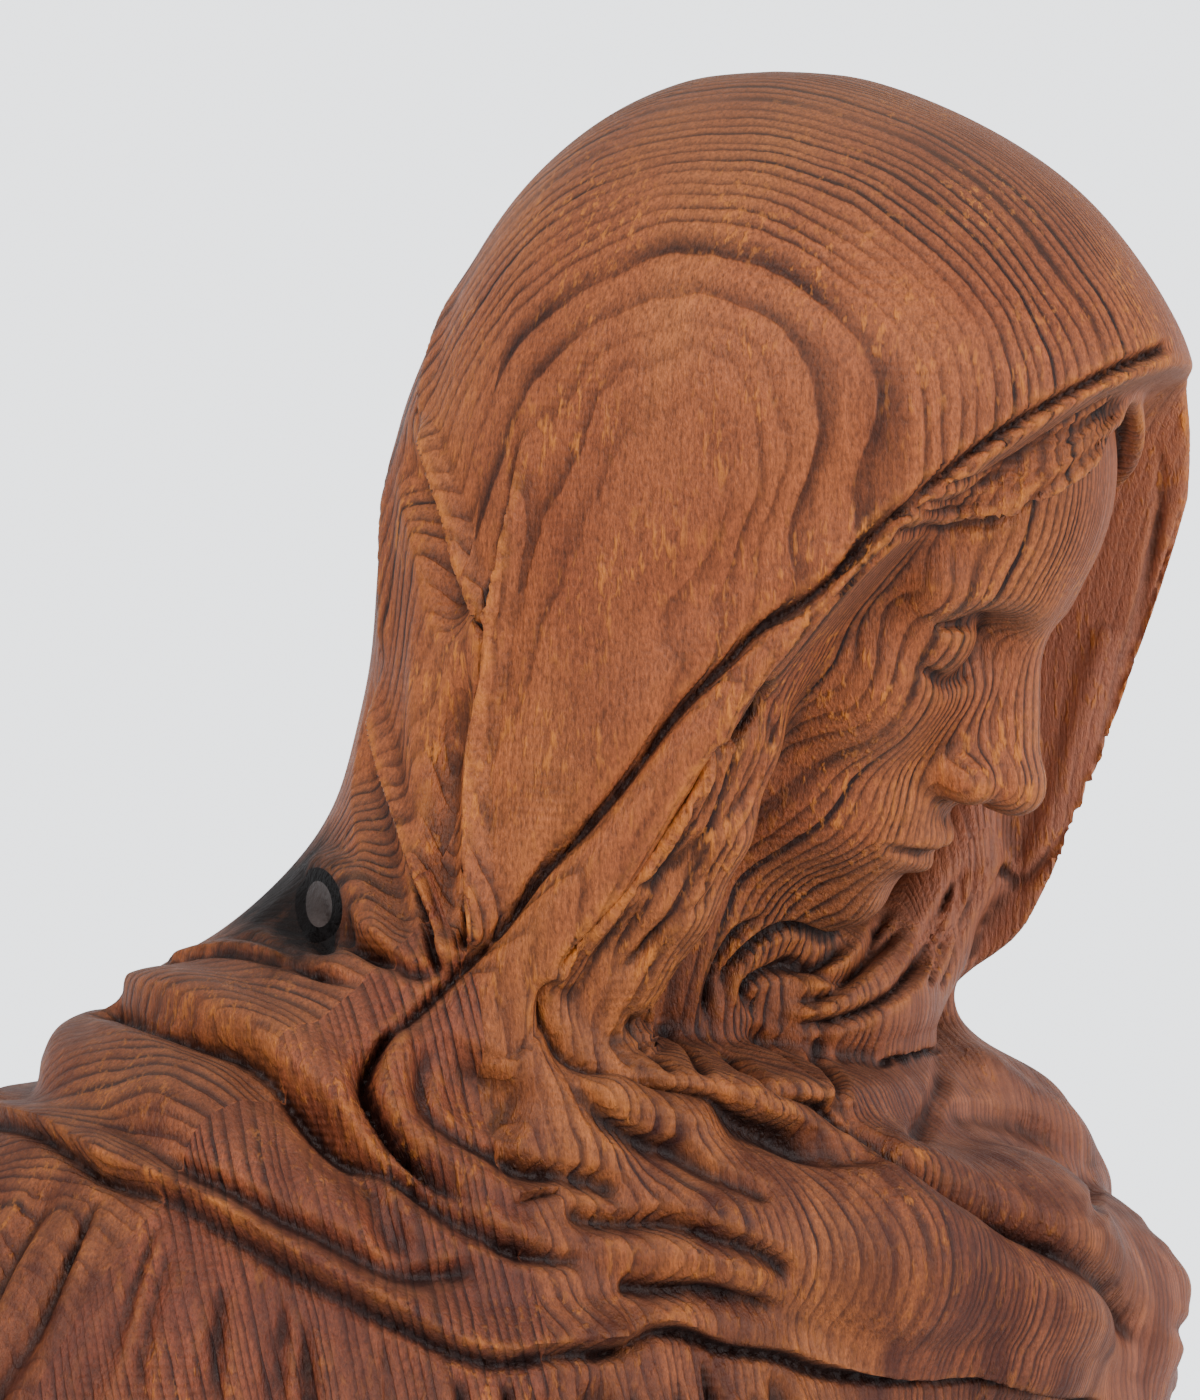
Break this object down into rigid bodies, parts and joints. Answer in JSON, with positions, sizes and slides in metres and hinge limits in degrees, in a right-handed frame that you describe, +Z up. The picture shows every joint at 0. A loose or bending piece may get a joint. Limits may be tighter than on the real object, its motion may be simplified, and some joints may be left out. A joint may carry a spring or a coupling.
{
  "type": "madonna statue",
  "caption": "Carved wooden bust of a veiled woman with a bowed head, glued up from boards, on an oval plinth.",
  "frame": {"origin": "centre of the object's outline at the level that the foot pads rest on", "axes": "+Z up, the chest faces -Y, the figure's own right side is -X; the head is turned to the figure's left"},
  "size_m": [0.2082, 0.138, 0.27],
  "materials": {
    "carved_wood": "stained and oiled softwood, satin",
    "plinth_wood": "darker stained wood, satin",
    "knot_wood": "dead knot, nearly black",
    "knot_resin": "black filler resin, glossy",
    "dowel_wood": "plain beech",
    "steel": "zinc plated",
    "rubber": "matt"
  },
  "bodies": {
    "root": {"front_board_right": "carved_wood", "front_board_left": "carved_wood", "middle_board_right": "carved_wood", "middle_board_left": "carved_wood", "back_board_right": "carved_wood", "back_board_left": "carved_wood", "knot_fill": "knot_resin", "knot_core": "knot_wood", "plinth": "plinth_wood", "plinth_dowels": "dowel_wood", "plinth_screws": "steel", "foot_pads": "rubber"}
  },
  "joints": []
}
